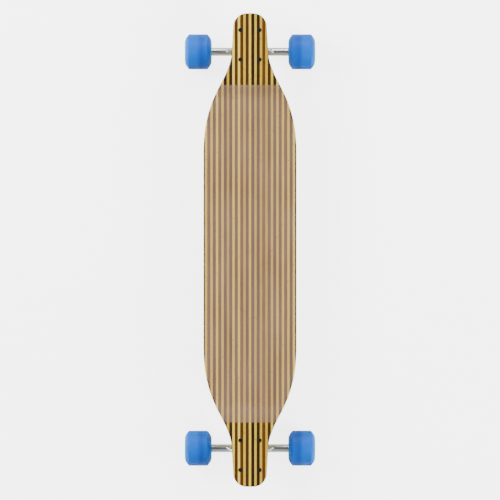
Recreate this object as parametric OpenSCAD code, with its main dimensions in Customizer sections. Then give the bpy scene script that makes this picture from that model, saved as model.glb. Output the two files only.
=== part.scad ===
// Drop-deck longboard with reverse-kingpin trucks.
// Frame: +X to the nose, +Y to the rider's left, +Z up. The origin is on the ground under the
// middle of the deck. All sizes are in millimetres.

/* [Deck] */
// Length of the deck from nose to tail
deck_len = 1016; // [800:1:1250]
// Width of the standing platform
deck_w = 200; // [160:1:250]
// Width of the neck where it meets the rounded nose
neck_w = 72; // [58:1:90]
// How much the neck widens on each side on its way to the flare
neck_taper = 3.5; // [0:0.5:8]
// Radius of the two corners of the nose and of the tail
nose_r = 29; // [20:1:29]
// Distance from the deck's end to the place where the flare starts
flare_start = 88; // [80:1:110]
// Distance from the deck's end to the place where the flare turns outwards most steeply
flare_middle = 150; // [140:1:170]
// Half-width of the deck at the middle of the flare
flare_half_w = 62; // [55:1:70]
// Distance from the deck's end to the place where the platform reaches its full width
flare_end = 300; // [280:1:360]
// How far the platform lies below the two mounting ends
drop = 20; // [10:1:30]
// Distance from the deck's end to the start of the drop
drop_start = 128; // [122:1:150]
// Length of the drop along the deck
drop_run = 62; // [50:1:90]
// Thickness of the laminated core
core_t = 8; // [6:0.5:12]
// Thickness of the striped face veneer on top
top_veneer_t = 1.5; // [0.8:0.1:2.5]
// Thickness of the maple face veneer underneath
bottom_veneer_t = 1.5; // [0.8:0.1:2.5]
// Thickness of the clear grip sheet
grip_t = 0.8; // [0.5:0.1:1.5]
// Distance from the nose to the straight front edge of the grip sheet
grip_front = 154; // [140:1:200]
// Distance from the tail to the straight rear edge of the grip sheet
grip_rear = 138; // [130:1:200]
// Bare margin between the edge of the deck and the grip sheet
grip_margin = 1.5; // [0.5:0.5:10]

/* [Truck mounting] */
// Distance from the deck's end to the middle of the bolt pattern
truck_inset = 68; // [66:1:80]
// Spacing of the bolts along the deck
bolt_spacing_x = 63.5; // [60:0.1:66]
// Spacing of the bolts across the deck
bolt_spacing_y = 41.275; // [40:0.1:44]
// Diameter of the deck bolts
bolt_d = 4.8; // [4:0.1:6]
// Diameter of the countersunk bolt heads
bolt_head_d = 9.2; // [8:0.1:11]
// Height of the countersunk bolt heads
bolt_head_h = 2.6; // [2:0.1:4]
// Width across the flats of the deck nuts
nut_flats = 9.5; // [8:0.1:11]
// Height of the deck nuts
nut_h = 5; // [4:0.1:7]
// Length of bolt that stands out below its nut
bolt_tail = 2.2; // [1:0.1:4]
// Clearance around a bolt in the deck and the baseplate
bolt_gap = 0.3; // [0.1:0.05:0.6]

/* [Truck] */
// Height from the axle's middle up to the underside of the deck
truck_h = 75; // [70:1:85]
// How far the axle lies inboard of the middle of the bolt pattern
axle_inset = 11; // [6:1:16]
// Angle of the steering axis above the horizontal
pivot_angle = 42; // [40:1:45]
// Distance of the axle behind the kingpin, along the steering axis
axle_back = 22.3; // [21:0.1:26]
// Distance of the axle below the steering axis
axle_drop = 10.3; // [6:0.1:11]
// Width of the baseplate
plate_w = 54; // [50:1:60]
// Thickness of the baseplate's flange
plate_t = 6; // [5:0.5:8]
// Distance from the middle of the bolt pattern to the baseplate's inboard end
plate_inboard = 39.7; // [38:0.1:44]
// Distance from the middle of the bolt pattern to the baseplate's outboard end
plate_outboard = 44; // [42:1:50]
// Corner radius of the baseplate
plate_r = 7; // [3:1:10]
// Diameter of the kingpin tower
tower_d = 26; // [24:1:28]
// Length of the kingpin tower
tower_len = 23; // [20:1:26]
// Outer diameter of the pivot housing
housing_d = 26; // [24:1:30]
// Reach of the pivot housing beyond the middle of the bolt pattern
housing_reach = 52.5; // [50:0.5:56]
// Distance along the steering axis from the kingpin to the mouth of the pivot cup
cup_mouth = 48; // [46:0.5:50]
// Outer diameter of the pivot cup
cup_d = 18.5; // [17:0.5:19]
// Depth of the pivot cup
cup_depth = 12; // [10:0.5:13]
// Diameter of the pivot pin
pivot_d = 12; // [10:0.5:13]
// Running clearance of the pivot pin in its cup
pivot_gap = 0.05; // [0.02:0.01:0.1]
// Diameter of the kingpin
kingpin_d = 9.5; // [8:0.1:10]
// Diameter of the kingpin's head
kingpin_head_d = 16; // [14:0.5:17]
// Height of the kingpin's head
kingpin_head_h = 6; // [5:0.5:7]
// Width across the flats of the kingpin nut
kingpin_nut_flats = 14.3; // [13:0.1:16]
// Height of the kingpin nut
kingpin_nut_h = 7; // [6:0.5:8]
// Diameter of the cup washer
washer_d = 26; // [24:0.5:28]
// Thickness of the cup washer
washer_t = 2; // [1.5:0.1:3]
// Largest diameter of the bushings
bushing_d = 28; // [24:0.5:29]
// Small diameter of the cone bushing
bushing_tip_d = 20; // [17:0.5:24]
// Height of the board-side bushing
board_bushing_h = 14; // [12:0.5:16]
// Height of the road-side bushing
road_bushing_h = 12; // [10:0.5:15]
// Diameter of the hanger's bushing ring
ring_d = 40; // [38:0.5:42]
// Thickness of the ring's web, which the bushings bear on
ring_web = 8; // [6:0.5:9]
// Depth of the bushing seats in the ring
seat_depth = 3; // [2:0.5:4]
// Diameter of the kingpin's hole in the ring
ring_hole_d = 15; // [13.5:0.5:17]
// Width of the hanger, between the two faces that the wheels run against
hanger_w = 184; // [160:1:200]
// Diameter of the hanger's tube
tube_d = 17.5; // [15:0.5:19]
// Reach of the hanger's side webs from the middle
web_reach = 50; // [42:1:60]
// Thickness of the hanger's side webs
web_t = 6; // [4:0.5:8]
// Clearance round a bushing in its seat in the ring
bushing_gap = 1.2; // [0.5:0.1:1.5]

/* [Axle and bearings] */
// Diameter of the axle
axle_d = 8; // [7:0.1:9]
// Thickness of the speed washers
speed_washer_t = 1; // [0.5:0.1:1.5]
// Outer diameter of the bearings
bearing_d = 22; // [20:0.5:24]
// Width of a bearing
bearing_w = 7; // [6.5:0.1:8]
// Diameter of the circle on which the bearing balls run
ball_circle_d = 15; // [14.5:0.1:15.5]
// Diameter of the bearing balls
ball_d = 3.969; // [3.6:0.001:4]
// Number of balls in a bearing
ball_count = 7; // [6:1:7]
// Running clearance of the balls in their races
ball_gap = 0.06; // [0.04:0.01:0.1]
// Length of the spacer between a wheel's two bearings
spacer_len = 10; // [8:0.5:14]
// Width across the flats of the axle nuts
axle_nut_flats = 12.7; // [12:0.1:14]
// Height of the axle nuts
axle_nut_h = 8; // [6:0.5:9]
// Length of axle that stands out of its nut
axle_tail = 1; // [0.5:0.5:3]
// Clearance of a ring, washer or nut on its shaft, and of a bearing in its seat
seat_gap = 0.02; // [0.01:0.01:0.05]

/* [Wheels] */
// Diameter of the wheels
wheel_d = 76; // [65:1:90]
// Overall width of a wheel
wheel_w = 58; // [50:1:66]
// Width of the flat tread
tread_w = 43; // [34:1:46]
// Distance by which a wheel's inner lip reaches over the end of the hanger
lip_overlap = 9; // [6:0.5:11]
// Diameter of the lip on each side of a wheel, where it is widest
lip_d = 40; // [36:1:46]
// Diameter of the mouth of the recess on each side of a wheel
mouth_d = 33; // [30:1:35]
// Radius of the rounded edge of the tread
tread_edge_r = 2.5; // [2:0.5:6]

/* [Hidden] */
$fn = 64;
eps = 0.01;

// Deck heights
wheel_r = wheel_d / 2;
end_z = wheel_r + truck_h;
platform_z = end_z - drop;
deck_t = bottom_veneer_t + core_t + top_veneer_t;
drop_angle = 2 * atan(drop / drop_run);
drop_r = drop_run / (2 * sin(drop_angle));
half_len = deck_len / 2;

// Handles of the outline's flare curves, as [along the deck, across it]
flare_start_handle = [-17, 1];
flare_middle_out_handle = [20, -11];
flare_middle_in_handle = [-22, 12.1];
flare_end_handle = [85, 0];

// Nuts and bolts: share of a nut's height and of its width that its round collar takes
collar_share = 0.2;
collar_width_share = 0.94;
socket_d = 3.6;
socket_depth = 1.6;

// Baseplate: clearances of the pockets for the kingpin's head and for the deck nuts, how much
// wider the tower's cylinder is than its block, and how far a cutter runs on past the casting
head_pocket_gap = 2;
nut_pocket_gap = 1.6;
tower_block_inset = 2;
tower_foot_at = bolt_spacing_x / 8;
run_on = 40;

// Foot that ties the pivot housing to the flange: where it starts inside the housing's mouth, and
// its width
housing_foot_in = 4;
housing_foot_w = 0.65 * housing_d;

// Pivot cup: how far its lip stands proud, and its floor under the pin's round tip
cup_lip = 1;
cup_floor = 1.5;
pivot_tip_at = cup_mouth + cup_depth - cup_floor - pivot_d / 2;

// Clearance of the kingpin in the bushings
bushing_bore_gap = 0.2;

// Hanger neck: radii and places along the steering axis, from the ring to the pivot pin
neck_root_r = 13;
neck_root_at = ring_d / 2 - 5;
neck_r = 10.5;
collar_r = 11.5;
collar_w = 3;
collar_at = cup_mouth - 12;
pin_root_r = 10;
pin_root_at = cup_mouth - 4;

// Hanger body and webs, measured from the ring and the tube that they join
body_inset = 1;
body_front_at = ring_d / 2 - 6;
body_back_at = -8;
body_rise = 4;
body_tube_rise = 3;
body_w = ring_d - 4;
web_front_at = 10;
web_front_half_w = ring_d / 2 - 4;
web_side_at = axle_drop / 2;
swell_len = web_reach - 4;
swell_inner_d = tube_d + 2.5;
swell_outer_d = tube_d - 0.2;

// The truck's side view, in [x, z] from the middle of the bolt pattern, +x to the deck's end.
// a is the direction of the steering axis and k that of the kingpin.
a = [cos(pivot_angle), sin(pivot_angle)];
k = [sin(pivot_angle), -cos(pivot_angle)];
axle_at = [-axle_inset, -truck_h];
ring_at = axle_at + axle_back * a - axle_drop * k;
function side(along_a, along_k) = ring_at + along_a * a + along_k * k;

// Stack along the kingpin, from the middle of the ring
tower_face = -(ring_web / 2 + board_bushing_h);
tower_back = tower_face - tower_len;
washer_at = ring_web / 2 + road_bushing_h;
kingpin_nut_at = washer_at + washer_t;
kingpin_end = kingpin_nut_at + kingpin_nut_h;
ring_t = ring_web + 2 * seat_depth;

// Stack along the axle, from the middle of the truck
bearing_in_at = hanger_w / 2 + speed_washer_t;
spacer_at = bearing_in_at + bearing_w;
bearing_out_at = spacer_at + spacer_len;
outer_washer_at = bearing_out_at + bearing_w;
axle_nut_at = outer_washer_at + speed_washer_t;
axle_end = axle_nut_at + axle_nut_h + axle_tail;
wheel_in_at = hanger_w / 2 - lip_overlap;
wheel_mid = wheel_in_at + wheel_w / 2;

// Wheel section: end of the tread's rounded edge, pulls of the domed side and of the lip's
// rounding, drop of the mouth below the lip, and depth of the web between the bearings
tread_edge_turn = 50;
dome_pull = 4.5;
dome_lip_pull = 7;
lip_pull = 2;
mouth_pull = 0.5;
mouth_drop = 2.5;
recess_step = 2;
web_depth = 2.5;

// Bearing section: the lands of the two rings lie 1.5 mm inside and outside the ball circle
land_gap = 1.5;
inner_race_r = ball_circle_d / 2 - land_gap;
outer_race_r = ball_circle_d / 2 + land_gap;
race_r = ball_d / 2 + ball_gap;
shield_t = 0.4;
shield_sink = 0.2;
shield_gap = 0.3;
shield_at = bearing_w / 2 - shield_sink - shield_t;
cage_t = 0.7;
cage_gap = 0.15;
cage_at = shield_at - cage_gap - cage_t;
cage_w = 1.6;
finger_d = 1.3;
finger_reach = 0.8;

// ---- Small helpers ----

function reversed(points) = [for (i = [len(points) - 1:-1:0]) points[i]];
function flipped_x(points) = [for (p = points) [-p[0], p[1]]];
function flipped_y(points) = [for (p = points) [p[0], -p[1]]];
function bezier(p, t) = pow(1 - t, 3) * p[0] + 3 * t * pow(1 - t, 2) * p[1]
  + 3 * t * t * (1 - t) * p[2] + pow(t, 3) * p[3];
function curve(p, steps) = [for (i = [1:steps]) bezier(p, i / steps)];
function arc(centre, r, from, to, steps) =
  [for (i = [0:steps]) let (turn = from + (to - from) * i / steps) centre + r * [cos(turn), sin(turn)]];

// A ring about Z that starts at height z
module ring(r_out, r_in, h, z = 0) {
  translate([0, 0, z]) difference() {
    cylinder(r = r_out, h = h);
    translate([0, 0, -eps]) cylinder(r = r_in, h = h + 2 * eps);
  }
}

// A hexagon nut about Z with a plain collar above its flats
module hex_nut(flats, h, bore_d, z = 0) {
  collar = h * collar_share;
  translate([0, 0, z]) difference() {
    union() {
      cylinder(d = flats / cos(30), h = h - collar, $fn = 6);
      cylinder(d = flats * collar_width_share, h = h);
    }
    translate([0, 0, -eps]) cylinder(d = bore_d + 2 * seat_gap, h = h + 2 * eps);
  }
}

// ---- Places ----

// Middle of a truck's bolt pattern on the underside of the deck; end is 1 in front, -1 behind
module at_truck(end) {
  translate([end * (half_len - truck_inset), 0, end_z]) rotate([0, 0, end > 0 ? 0 : 180]) children();
}

// Middle of the truck on its axle, with +Z outwards along the axle; side is 1 left, -1 right
module at_corner(end, side) {
  at_truck(end) translate([axle_at[0], 0, axle_at[1]])
    rotate([0, 0, side == end ? 0 : 180]) rotate([-90, 0, 0]) children();
}

// Middle of the ring, with +Z along the kingpin towards its nut
module on_kingpin() {
  translate([ring_at[0], 0, ring_at[1]]) rotate([0, 180 - pivot_angle, 0]) children();
}

// Middle of the ring, with +Z along the steering axis towards the pivot
module on_pivot() {
  translate([ring_at[0], 0, ring_at[1]]) rotate([0, 90 - pivot_angle, 0]) children();
}

// The four bolts of one truck, from the middle of their pattern
module at_bolts() {
  for (x = [-1, 1], y = [-1, 1])
    translate([x * bolt_spacing_x / 2, y * bolt_spacing_y / 2, 0]) children();
}

// ---- Deck ----

// A quarter of the outline, from the tip of the nose to the full width
function outline_quarter(inset) = let (
  neck_r = nose_r - inset,
  neck = [half_len - nose_r, neck_w / 2 - nose_r],
  start = [half_len - flare_start, neck_w / 2 + neck_taper - inset],
  middle = [half_len - flare_middle, flare_half_w - inset],
  end = [half_len - flare_end, deck_w / 2 - inset]
) concat(
  arc(neck, neck_r, 0, 90, 10),
  [start],
  curve([start, start + flare_start_handle, middle + flare_middle_out_handle, middle], 8),
  curve([middle, middle + flare_middle_in_handle, end + flare_end_handle, end], 12)
);

module outline(inset = 0) {
  q = outline_quarter(inset);
  top = concat(q, reversed(flipped_x(q)));
  polygon(concat(top, reversed(flipped_y(top))));
}

// Half of the deck's side view at a height above its underside, from the middle to the nose
function side_line(above) = concat(
  [[0, platform_z + above]],
  arc([half_len - drop_start - drop_run, platform_z + drop_r], drop_r - above, -90, -90 + drop_angle, 8),
  arc([half_len - drop_start, end_z - drop_r], drop_r + above, 90 + drop_angle, 90, 8),
  [[half_len + 1, end_z + above]]
);
function full_line(above) = concat(reversed(flipped_x(side_line(above))), side_line(above));

// A layer of the deck between two heights above its underside
module layer(from, to, inset = 0) {
  intersection() {
    rotate([90, 0, 0]) linear_extrude(height = deck_w + 2, center = true)
      polygon(concat(full_line(from), reversed(full_line(to))));
    linear_extrude(height = end_z + deck_t + 5) outline(inset);
  }
}

module bolt_holes() {
  for (end = [-1, 1]) at_truck(end) at_bolts() {
    translate([0, 0, -1]) cylinder(d = bolt_d + 2 * bolt_gap, h = deck_t + 2);
    translate([0, 0, deck_t - bolt_head_h]) countersink(bolt_gap);
  }
}

// The cone of a bolt head, grown by a clearance and run on past the deck's top
module countersink(gap) {
  slope = (bolt_head_d - bolt_d) / 2 / bolt_head_h;
  cylinder(r1 = bolt_d / 2 + gap, r2 = bolt_head_d / 2 + gap + slope, h = bolt_head_h + 1);
}

module deck_core() {
  color("burlywood") difference() {
    layer(bottom_veneer_t, bottom_veneer_t + core_t);
    bolt_holes();
  }
}

module deck_top_veneer() {
  color("saddlebrown") difference() {
    layer(bottom_veneer_t + core_t, deck_t);
    bolt_holes();
  }
}

module deck_bottom_veneer() {
  color("wheat") difference() {
    layer(0, bottom_veneer_t);
    bolt_holes();
  }
}

module grip_sheet() {
  color("tan") intersection() {
    layer(deck_t, deck_t + grip_t, grip_margin);
    translate([-half_len + grip_rear, -deck_w / 2, 0])
      cube([deck_len - grip_rear - grip_front, deck_w, end_z + deck_t + 5]);
  }
}

// ---- Truck hardware ----

module deck_bolts() {
  tail = plate_t + nut_h + bolt_tail;
  color("dimgray") at_bolts() {
    translate([0, 0, -tail]) cylinder(d = bolt_d, h = tail + deck_t - bolt_head_h + eps);
    translate([0, 0, deck_t - bolt_head_h]) difference() {
      cylinder(d1 = bolt_d, d2 = bolt_head_d, h = bolt_head_h);
      translate([0, 0, bolt_head_h - socket_depth]) cylinder(d = socket_d, h = socket_depth + 1, $fn = 6);
    }
  }
}

module deck_nuts() {
  color("dimgray") at_bolts()
    translate([0, 0, -plate_t]) rotate([180, 0, 0]) hex_nut(nut_flats, nut_h, bolt_d);
}

// ---- Baseplate ----

module flange_outline() {
  len_x = plate_inboard + plate_outboard;
  translate([-plate_inboard, -plate_w / 2]) {
    translate([plate_r, 0]) square([len_x - 2 * plate_r, plate_w]);
    translate([0, plate_r]) square([len_x, plate_w - 2 * plate_r]);
    for (x = [plate_r, len_x - plate_r], y = [plate_r, plate_w - plate_r])
      translate([x, y]) circle(r = plate_r);
  }
}

// Side view of the block that carries the tower
module tower_side() {
  polygon([
    side(0, tower_back), side(0, tower_face), side(tower_d / 2, tower_face),
    [tower_foot_at, -plate_t / 2], [-plate_inboard + plate_r, -plate_t / 2]
  ]);
}

// Side view of the foot between the pivot housing's middle line and the flange
module housing_side() {
  near = side(cup_mouth + housing_foot_in, 0);
  far = side(cup_mouth + cup_depth, 0);
  polygon([near, far, [far[0], -plate_t / 2], [near[0], -plate_t / 2]]);
}

module baseplate() {
  box = plate_w + 2;
  color("silver") difference() {
    union() {
      translate([0, 0, -plate_t]) linear_extrude(height = plate_t) flange_outline();
      rotate([90, 0, 0]) linear_extrude(height = tower_d - tower_block_inset, center = true) tower_side();
      on_kingpin() translate([0, 0, tower_back]) cylinder(d = tower_d, h = tower_len);
      rotate([90, 0, 0]) linear_extrude(height = housing_foot_w, center = true) housing_side();
      intersection() {
        on_pivot() translate([0, 0, cup_mouth]) cylinder(d = housing_d, h = 2 * cup_depth + housing_d);
        translate([-plate_inboard, -box / 2, -truck_h]) cube([plate_inboard + housing_reach, box, truck_h]);
      }
    }
    on_kingpin() {
      translate([0, 0, tower_back - eps]) cylinder(d = kingpin_d + 2 * seat_gap, h = tower_len + 2 * eps);
      translate([0, 0, tower_back - run_on]) cylinder(d = kingpin_head_d + 2 * head_pocket_gap, h = run_on);
    }
    on_pivot() translate([0, 0, cup_mouth - eps]) cylinder(d = cup_d + 2 * seat_gap, h = cup_depth + eps);
    at_bolts() {
      translate([0, 0, -plate_t - 1]) cylinder(d = bolt_d + 2 * bolt_gap, h = plate_t + 2);
      translate([0, 0, -plate_t - run_on]) cylinder(d = nut_flats / cos(30) + nut_pocket_gap, h = run_on);
    }
    translate([-box, -box, 0]) cube([2 * box, 2 * box, run_on]);
  }
}

module pivot_cup() {
  bore_at = cup_mouth - 2 * cup_lip;
  color("dimgray") on_pivot() difference() {
    translate([0, 0, cup_mouth - cup_lip]) cylinder(d = cup_d, h = cup_depth + cup_lip);
    translate([0, 0, pivot_tip_at]) sphere(r = pivot_d / 2 + pivot_gap);
    translate([0, 0, bore_at]) cylinder(r = pivot_d / 2 + pivot_gap, h = pivot_tip_at - bore_at);
  }
}

// ---- Kingpin and bushings ----

module kingpin() {
  color("dimgray") on_kingpin() {
    translate([0, 0, tower_back - kingpin_head_h])
      cylinder(d = kingpin_head_d / cos(30), h = kingpin_head_h, $fn = 6);
    translate([0, 0, tower_back - eps]) cylinder(d = kingpin_d, h = kingpin_end - tower_back + 1);
  }
}

module kingpin_nut() {
  color("black") on_kingpin() hex_nut(kingpin_nut_flats, kingpin_nut_h, kingpin_d, kingpin_nut_at);
}

module cup_washer() {
  color("dimgray") on_kingpin() ring(washer_d / 2, kingpin_d / 2 + seat_gap, washer_t, washer_at);
}

module board_bushing() {
  color("black") on_kingpin()
    ring(bushing_d / 2, kingpin_d / 2 + bushing_bore_gap, board_bushing_h, tower_face);
}

module road_bushing() {
  color("black") on_kingpin() difference() {
    translate([0, 0, ring_web / 2]) {
      cylinder(d = bushing_d, h = seat_depth);
      translate([0, 0, seat_depth])
        cylinder(d1 = bushing_d, d2 = bushing_tip_d, h = road_bushing_h - seat_depth);
    }
    translate([0, 0, ring_web / 2 - eps])
      cylinder(r = kingpin_d / 2 + bushing_bore_gap, h = road_bushing_h + 2 * eps);
  }
}

// ---- Hanger ----

// Half section of the neck and pivot pin, as [radius, distance along the steering axis]
function neck_section() = concat(
  [[0, neck_root_at], [neck_root_r, neck_root_at], [neck_r, collar_at - collar_w], [neck_r, collar_at],
   [collar_r, collar_at], [collar_r, collar_at + collar_w], [pin_root_r, collar_at + collar_w],
   [pivot_d / 2, pin_root_at]],
  arc([0, pivot_tip_at], pivot_d / 2, 0, 90, 8)
);

// Side view of the body between the tube and the ring
module body_side() {
  half = ring_t / 2 - body_inset;
  polygon([
    side(-axle_back, axle_drop - tube_d / 2 + body_inset), side(0, -half), side(body_front_at, -half),
    side(body_front_at, half), side(body_back_at, half + body_rise),
    side(-axle_back, axle_drop + body_tube_rise)
  ]);
}

// Outline of the side webs, as [distance along the steering axis, distance across]
module web_outline() {
  polygon([
    [-axle_back, -web_reach], [-axle_back + tube_d / 3, -web_reach], [web_front_at, -web_front_half_w],
    [web_front_at, web_front_half_w], [-axle_back + tube_d / 3, web_reach], [-axle_back, web_reach]
  ]);
}

module hanger() {
  color("silver") difference() {
    union() {
      translate([axle_at[0], 0, axle_at[1]]) rotate([90, 0, 0]) {
        cylinder(d = tube_d, h = hanger_w, center = true);
        for (m = [0, 1]) mirror([0, 0, m])
          cylinder(d1 = swell_inner_d, d2 = swell_outer_d, h = swell_len);
      }
      on_kingpin() translate([0, 0, -ring_t / 2]) cylinder(d = ring_d, h = ring_t);
      rotate([90, 0, 0]) linear_extrude(height = body_w, center = true) body_side();
      // the side webs lie in a plane through the axle, square to the side view
      on_pivot() rotate([0, 90, 0]) translate([0, 0, web_side_at])
        linear_extrude(height = web_t, center = true) rotate([0, 0, 180]) web_outline();
      on_pivot() rotate_extrude() polygon(neck_section());
    }
    on_kingpin() {
      cylinder(d = ring_hole_d, h = ring_t + run_on, center = true);
      for (m = [0, 1]) mirror([0, 0, m])
        translate([0, 0, ring_web / 2]) cylinder(d = bushing_d + 2 * bushing_gap, h = run_on);
    }
    translate([axle_at[0], 0, axle_at[1]]) rotate([90, 0, 0])
      cylinder(d = axle_d + 2 * seat_gap, h = hanger_w + 2, center = true);
  }
}

module axle() {
  color("lightgray") translate([axle_at[0], 0, axle_at[1]]) rotate([90, 0, 0])
    cylinder(d = axle_d, h = 2 * axle_end, center = true);
}

// ---- Wheel, turned about Z, from the middle of the truck outwards ----

function wheel_section() = let (
  r = wheel_r - tread_edge_r,
  edge_at = tread_w / 2 - tread_edge_r,
  half = wheel_w / 2,
  lip_r = lip_d / 2,
  mouth_r = mouth_d / 2,
  seat_r = bearing_d / 2 + seat_gap,
  web_r = seat_r - web_depth,
  // rounded edge of the tread, then the domed side as far as the lip, above the wheel's middle
  flank = concat(
    arc([r, edge_at], tread_edge_r, 0, tread_edge_turn, 5),
    curve([[r + tread_edge_r * cos(tread_edge_turn), edge_at + tread_edge_r * sin(tread_edge_turn)],
           [r - dome_pull, tread_w / 2 + dome_pull], [lip_r + dome_lip_pull, half], [lip_r, half]], 8),
    curve([[lip_r, half], [lip_r - lip_pull, half], [mouth_r, half - mouth_pull],
           [mouth_r, half - mouth_drop]], 4)
  ),
  top = [for (p = flank) [p[0], wheel_mid + p[1]]],
  low = [for (p = flank) [p[0], wheel_mid - p[1]]]
) concat(
  reversed(low), top,
  [[seat_r + recess_step, outer_washer_at], [seat_r, outer_washer_at], [seat_r, bearing_out_at],
   [web_r, bearing_out_at], [web_r, spacer_at], [seat_r, spacer_at],
   [seat_r, bearing_in_at], [seat_r + recess_step, bearing_in_at]]
);

module wheel() {
  color("dodgerblue") rotate_extrude() polygon(wheel_section());
}

// Both of a wheel's bearings, each with its own middle at the origin
module at_bearings() {
  for (z = [bearing_in_at, bearing_out_at]) translate([0, 0, z + bearing_w / 2]) children();
}

module race_groove() {
  rotate_extrude() translate([ball_circle_d / 2, 0]) circle(r = race_r);
}

module outer_rings() {
  color("silver") at_bearings() difference() {
    ring(bearing_d / 2, outer_race_r, bearing_w, -bearing_w / 2);
    race_groove();
  }
}

module inner_rings() {
  color("silver") at_bearings() difference() {
    ring(inner_race_r, axle_d / 2 + seat_gap, bearing_w, -bearing_w / 2);
    race_groove();
  }
}

// Seven balls in a crown cage: a flat ring with a finger between each pair of balls
module ball_cages() {
  step = 360 / ball_count;
  color("gainsboro") at_bearings() {
    for (i = [0:ball_count - 1])
      rotate([0, 0, i * step]) translate([ball_circle_d / 2, 0, 0]) sphere(d = ball_d);
    ring(ball_circle_d / 2 + cage_w / 2, ball_circle_d / 2 - cage_w / 2, cage_t, cage_at);
    for (i = [0:ball_count - 1])
      rotate([0, 0, (i + 0.5) * step]) translate([ball_circle_d / 2, 0, -finger_reach])
        cylinder(d = finger_d, h = cage_at + cage_t / 2 + finger_reach);
  }
}

// The dust shields are clipped into the outer rings
module shields() {
  color("gray") at_bearings() for (m = [0, 1]) mirror([0, 0, m])
    ring(outer_race_r - seat_gap, inner_race_r + shield_gap, shield_t, shield_at);
}

module spacer() {
  color("lightgray") ring(inner_race_r, axle_d / 2 + seat_gap, spacer_len, spacer_at);
}

module speed_washers() {
  color("lightgray") for (z = [hanger_w / 2, outer_washer_at])
    ring(inner_race_r, axle_d / 2 + seat_gap, speed_washer_t, z);
}

module axle_nut() {
  color("silver") hex_nut(axle_nut_flats, axle_nut_h, axle_d, axle_nut_at);
}

// ---- Assembly ----

deck_core();
deck_top_veneer();
deck_bottom_veneer();
grip_sheet();

ENDS = [["front_", 1], ["rear_", -1]];
SIDES = [["left_", 1], ["right_", -1]];
for (end = ENDS) {
  at_truck(end[1]) deck_bolts();
  at_truck(end[1]) deck_nuts();
  at_truck(end[1]) baseplate();
  at_truck(end[1]) kingpin();
  at_truck(end[1]) kingpin_nut();
  at_truck(end[1]) cup_washer();
  at_truck(end[1]) board_bushing();
  at_truck(end[1]) road_bushing();
  at_truck(end[1]) pivot_cup();
  at_truck(end[1]) hanger();
  at_truck(end[1]) axle();
  for (side = SIDES) {
    at = str(end[0], side[0]);
    at_corner(end[1], side[1]) wheel();
    at_corner(end[1], side[1]) outer_rings();
    at_corner(end[1], side[1]) inner_rings();
    at_corner(end[1], side[1]) ball_cages();
    at_corner(end[1], side[1]) shields();
    at_corner(end[1], side[1]) spacer();
    at_corner(end[1], side[1]) speed_washers();
    at_corner(end[1], side[1]) axle_nut();
  }
}
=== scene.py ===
import math

import bmesh
import bpy
import numpy as np
from mathutils import Matrix, Vector


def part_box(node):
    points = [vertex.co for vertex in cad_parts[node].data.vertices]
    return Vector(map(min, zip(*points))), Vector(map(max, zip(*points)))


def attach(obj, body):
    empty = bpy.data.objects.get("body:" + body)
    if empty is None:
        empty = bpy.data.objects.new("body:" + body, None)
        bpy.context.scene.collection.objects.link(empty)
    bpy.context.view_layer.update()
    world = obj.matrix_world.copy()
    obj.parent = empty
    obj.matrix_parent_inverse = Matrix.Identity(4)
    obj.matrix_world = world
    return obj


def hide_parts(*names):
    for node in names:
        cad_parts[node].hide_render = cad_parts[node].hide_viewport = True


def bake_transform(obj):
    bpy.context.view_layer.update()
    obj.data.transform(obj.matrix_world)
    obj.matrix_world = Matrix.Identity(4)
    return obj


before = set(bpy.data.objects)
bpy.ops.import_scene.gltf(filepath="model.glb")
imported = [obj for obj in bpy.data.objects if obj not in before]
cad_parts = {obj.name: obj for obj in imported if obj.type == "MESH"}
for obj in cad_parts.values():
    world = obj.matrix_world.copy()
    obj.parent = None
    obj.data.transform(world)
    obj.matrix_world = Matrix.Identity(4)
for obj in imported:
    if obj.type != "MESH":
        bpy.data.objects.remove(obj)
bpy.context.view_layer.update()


# ---- Deck core ----
# Plies of maple, glued crosswise and pressed in a mould that gives the drop, then cut to the
# outline and rounded along the edge. The cut edge shows the plies as light and darker lines.

MM = 0.001
deck_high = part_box("deck_core")[1]
half_len = deck_high.x / MM
half_w = deck_high.y / MM
neck_half_w = 36.0
neck_taper = 3.5
nose_r = 29.0
flare_start = 88.0
flare_middle = 150.0
flare_half_w = 62.0
flare_end = 300.0
flare_pulls = ((-17, 1), (20, -11), (-22, 12.1), (85, 0))
drop_start = 128.0
drop_run = 62.0
veneer_t = 1.5
core_t = 8.0
deck_t = core_t + 2 * veneer_t
edge_r = 3.4
station_gap = 2.5
tip_run = 30.0
end_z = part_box("deck_bottom_veneer")[1].z / MM - veneer_t
platform_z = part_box("deck_bottom_veneer")[0].z / MM
drop = end_z - platform_z
drop_angle = 2 * math.atan(drop / drop_run)
drop_r = drop_run / (2 * math.sin(drop_angle))
crease = 35
ply_pair = 3.2
fibre_relief = 0.0002
core_light = "#B8944E"
core_dark = "#7A5228"


def bezier(points, steps):
    """Points along a cubic curve, without its first point."""
    t = np.linspace(0, 1, steps + 1)[1:, None]
    a, b, c, d = (np.array(p, float) for p in points)
    return (1 - t) ** 3 * a + 3 * t * (1 - t) ** 2 * b + 3 * t**2 * (1 - t) * c + t**3 * d


def outline(inset):
    """Stations along half the deck and the half-width at each, drawn in by an inset."""
    turn = np.linspace(0, math.pi / 2, 13)
    corner = np.array([half_len - nose_r, neck_half_w - nose_r])
    nose = corner + (nose_r - inset) * np.stack([np.cos(turn), np.sin(turn)], axis=1)
    start = np.array([half_len - flare_start, neck_half_w + neck_taper - inset])
    middle = np.array([half_len - flare_middle, flare_half_w - inset])
    end = np.array([half_len - flare_end, half_w - inset])
    points = np.vstack([
        nose, [start],
        bezier([start, start + flare_pulls[0], middle + flare_pulls[1], middle], 24),
        bezier([middle, middle + flare_pulls[2], end + flare_pulls[3], end], 36),
        [[0, half_w - inset]],
    ])[::-1]
    return points[:, 0], points[:, 1]


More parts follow.
